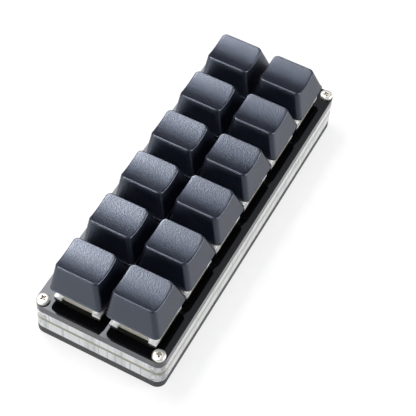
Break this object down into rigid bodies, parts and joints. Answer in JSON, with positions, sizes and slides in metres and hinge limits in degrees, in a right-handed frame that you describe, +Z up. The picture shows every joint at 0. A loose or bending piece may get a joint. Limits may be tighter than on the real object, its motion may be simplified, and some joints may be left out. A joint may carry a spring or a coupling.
{
  "type": "macro keypad",
  "caption": "Desk macro keypad: sloping square keycaps on sprung key switches in two rows, in a sandwich of black and clear acrylic layers round a circuit board.",
  "frame": {"origin": "centre of the case in plan, on the surface that the rubber feet stand on", "axes": "+X along the long side, +Y from the user's side to the rear, +Z up"},
  "size_m": [0.1204, 0.0442, 0.0296],
  "materials": {
    "keycap_plastic": "finely textured moulded plastic, near black with a slate tint",
    "stem_plastic": "smooth moulded plastic",
    "housing_white": "smooth milky white moulded plastic",
    "black_acrylic": "polished black acrylic sheet, laser-cut edges",
    "clear_acrylic": "clear acrylic sheet, laser-cut edges",
    "board_laminate": "glass-fibre laminate, bare at the edge",
    "nickel_steel": "nickel-plated steel",
    "brass": "turned brass",
    "contact_brass": "stamped sheet",
    "spring_steel": "drawn wire",
    "solder": "bright solder",
    "foot_rubber": "matt soft rubber",
    "chip_black": "moulded epoxy",
    "ceramic_tan": "fired ceramic"
  },
  "bodies": {
    "case": {"top_plate": "black_acrylic", "bottom_plate": "black_acrylic", "upper_spacer": "clear_acrylic", "lower_spacer": "clear_acrylic", "circuit_board": "board_laminate", "standoffs": "brass", "corner_screws": "nickel_steel", "bottom_screws": "nickel_steel", "rubber_feet": "foot_rubber", "switch_bases": "housing_white", "switch_covers": "housing_white", "fixed_contacts": "contact_brass", "moving_contacts": "contact_brass", "solder_joints": "solder", "usb_shell": "nickel_steel", "usb_tongue": "chip_black", "controller_chip": "chip_black", "signal_diodes": "chip_black", "socket_resistors": "chip_black", "chip_capacitors": "ceramic_tan", "spring_front_1": "spring_steel", "spring_front_2": "spring_steel", "spring_front_3": "spring_steel", "spring_front_4": "spring_steel", "spring_front_5": "spring_steel", "spring_front_6": "spring_steel", "spring_rear_1": "spring_steel", "spring_rear_2": "spring_steel", "spring_rear_3": "spring_steel", "spring_rear_4": "spring_steel", "spring_rear_5": "spring_steel", "spring_rear_6": "spring_steel"},
    "key_front_1": {"keycap_front_1": "keycap_plastic", "stem_front_1": "stem_plastic"},
    "key_front_2": {"keycap_front_2": "keycap_plastic", "stem_front_2": "stem_plastic"},
    "key_front_3": {"keycap_front_3": "keycap_plastic", "stem_front_3": "stem_plastic"},
    "key_front_4": {"keycap_front_4": "keycap_plastic", "stem_front_4": "stem_plastic"},
    "key_front_5": {"keycap_front_5": "keycap_plastic", "stem_front_5": "stem_plastic"},
    "key_front_6": {"keycap_front_6": "keycap_plastic", "stem_front_6": "stem_plastic"},
    "key_rear_1": {"keycap_rear_1": "keycap_plastic", "stem_rear_1": "stem_plastic"},
    "key_rear_2": {"keycap_rear_2": "keycap_plastic", "stem_rear_2": "stem_plastic"},
    "key_rear_3": {"keycap_rear_3": "keycap_plastic", "stem_rear_3": "stem_plastic"},
    "key_rear_4": {"keycap_rear_4": "keycap_plastic", "stem_rear_4": "stem_plastic"},
    "key_rear_5": {"keycap_rear_5": "keycap_plastic", "stem_rear_5": "stem_plastic"},
    "key_rear_6": {"keycap_rear_6": "keycap_plastic", "stem_rear_6": "stem_plastic"}
  },
  "joints": [
    {"name": "press_front_1", "type": "slide", "parent": "case", "child": "key_front_1", "axis": [0, 0, -1], "range_m": [0, 0.004], "stiffness_N_per_m": 80, "springref_m": -0.004, "deforming": ["spring_front_1"]},
    {"name": "press_front_2", "type": "slide", "parent": "case", "child": "key_front_2", "axis": [0, 0, -1], "range_m": [0, 0.004], "stiffness_N_per_m": 80, "springref_m": -0.004, "deforming": ["spring_front_2"]},
    {"name": "press_front_3", "type": "slide", "parent": "case", "child": "key_front_3", "axis": [0, 0, -1], "range_m": [0, 0.004], "stiffness_N_per_m": 80, "springref_m": -0.004, "deforming": ["spring_front_3"]},
    {"name": "press_front_4", "type": "slide", "parent": "case", "child": "key_front_4", "axis": [0, 0, -1], "range_m": [0, 0.004], "stiffness_N_per_m": 80, "springref_m": -0.004, "deforming": ["spring_front_4"]},
    {"name": "press_front_5", "type": "slide", "parent": "case", "child": "key_front_5", "axis": [0, 0, -1], "range_m": [0, 0.004], "stiffness_N_per_m": 80, "springref_m": -0.004, "deforming": ["spring_front_5"]},
    {"name": "press_front_6", "type": "slide", "parent": "case", "child": "key_front_6", "axis": [0, 0, -1], "range_m": [0, 0.004], "stiffness_N_per_m": 80, "springref_m": -0.004, "deforming": ["spring_front_6"]},
    {"name": "press_rear_1", "type": "slide", "parent": "case", "child": "key_rear_1", "axis": [0, 0, -1], "range_m": [0, 0.004], "stiffness_N_per_m": 80, "springref_m": -0.004, "deforming": ["spring_rear_1"]},
    {"name": "press_rear_2", "type": "slide", "parent": "case", "child": "key_rear_2", "axis": [0, 0, -1], "range_m": [0, 0.004], "stiffness_N_per_m": 80, "springref_m": -0.004, "deforming": ["spring_rear_2"]},
    {"name": "press_rear_3", "type": "slide", "parent": "case", "child": "key_rear_3", "axis": [0, 0, -1], "range_m": [0, 0.004], "stiffness_N_per_m": 80, "springref_m": -0.004, "deforming": ["spring_rear_3"]},
    {"name": "press_rear_4", "type": "slide", "parent": "case", "child": "key_rear_4", "axis": [0, 0, -1], "range_m": [0, 0.004], "stiffness_N_per_m": 80, "springref_m": -0.004, "deforming": ["spring_rear_4"]},
    {"name": "press_rear_5", "type": "slide", "parent": "case", "child": "key_rear_5", "axis": [0, 0, -1], "range_m": [0, 0.004], "stiffness_N_per_m": 80, "springref_m": -0.004, "deforming": ["spring_rear_5"]},
    {"name": "press_rear_6", "type": "slide", "parent": "case", "child": "key_rear_6", "axis": [0, 0, -1], "range_m": [0, 0.004], "stiffness_N_per_m": 80, "springref_m": -0.004, "deforming": ["spring_rear_6"]}
  ]
}
